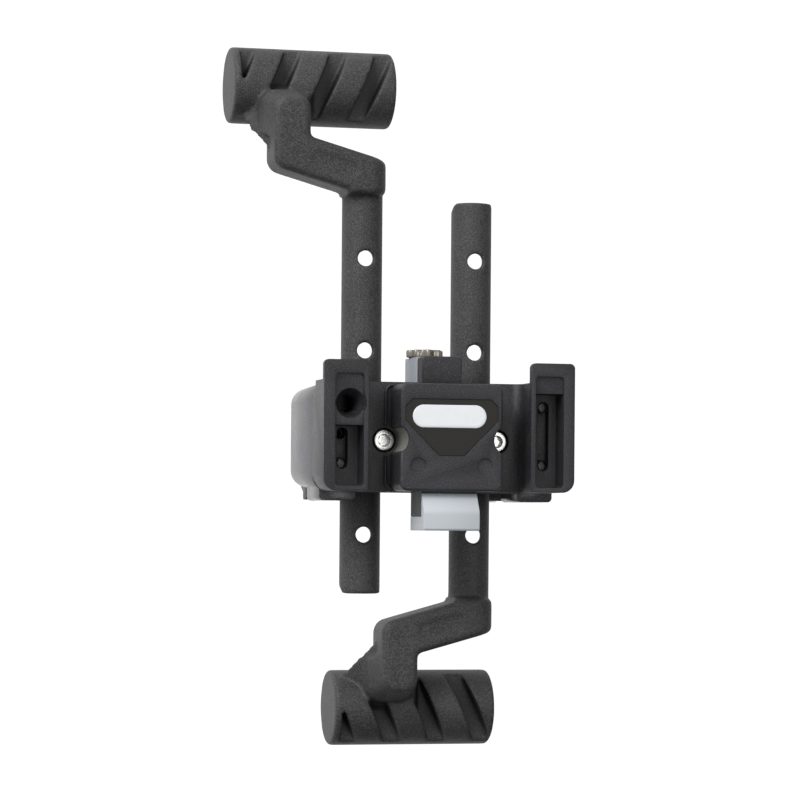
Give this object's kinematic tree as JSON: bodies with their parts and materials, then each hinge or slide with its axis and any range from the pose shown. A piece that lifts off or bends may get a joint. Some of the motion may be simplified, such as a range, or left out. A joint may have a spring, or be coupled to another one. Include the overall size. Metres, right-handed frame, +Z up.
{
  "type": "bicycle handlebar bag mount",
  "caption": "Handlebar bag mount with hook wings, release button and key lock, clamped to the bar, with cranked accessory arms above and below the bag.",
  "frame": {"origin": "on the handlebar's axis, halfway between the two rear clamp caps", "axes": "+X along the handlebar, -Y ahead of the bike towards the bag, +Z up"},
  "size_m": [0.1293, 0.109, 0.2933],
  "materials": {
    "black_moulding": "finely textured black glass-filled nylon",
    "printed_nylon": "satin black printed nylon with fine layer lines",
    "label_black": "matt label film",
    "grey_plastic": "light grey moulded plastic",
    "plated_metal": "warm nickel plate",
    "spring_steel": "bright spring strip",
    "zinc_steel": "bright zinc plate",
    "dark_screw": "black oxide",
    "liner_rubber": "matt black rubber"
  },
  "bodies": {
    "base": {"arm_lower": "printed_nylon", "arm_upper": "printed_nylon", "block_pad_left": "liner_rubber", "block_pad_right": "liner_rubber", "cap_nut_left_high": "zinc_steel", "cap_nut_left_low": "zinc_steel", "cap_nut_right_high": "zinc_steel", "cap_nut_right_low": "zinc_steel", "cap_pad_left": "liner_rubber", "cap_pad_right": "liner_rubber", "cap_screw_left_high": "zinc_steel", "cap_screw_left_low": "zinc_steel", "cap_screw_right_high": "zinc_steel", "cap_screw_right_low": "zinc_steel", "centre_cover": "black_moulding", "clamp_cap_left": "black_moulding", "clamp_cap_right": "black_moulding", "holder_body": "black_moulding", "label_plate": "label_black", "lock_housing": "grey_plastic", "main_nut_left": "zinc_steel", "main_nut_right": "zinc_steel", "main_screw_left": "zinc_steel", "main_screw_right": "zinc_steel", "rear_block": "black_moulding", "return_spring_left": "spring_steel", "return_spring_right": "spring_steel", "wing_screw_left_low": "dark_screw", "wing_screw_right_high": "dark_screw", "wing_screw_right_low": "dark_screw"},
    "latch": {"latch_slide": "black_moulding", "release_button": "grey_plastic"},
    "lock": {"lock_barrel": "plated_metal", "lock_cap": "plated_metal", "lock_cam": "plated_metal"}
  },
  "joints": [
    {"name": "button_press", "type": "slide", "parent": "base", "child": "latch", "axis": [0, 0, 1], "range_m": [0, 0.003], "stiffness_N_per_m": 400, "springref_m": -0.004, "deforming": ["return_spring_left", "return_spring_right"]},
    {"name": "lock_turn", "type": "hinge", "parent": "base", "child": "lock", "pos_m": [-0.0026, -0.0505, 0.02], "axis": [0, 0, -1], "range_deg": [0, 90]}
  ]
}
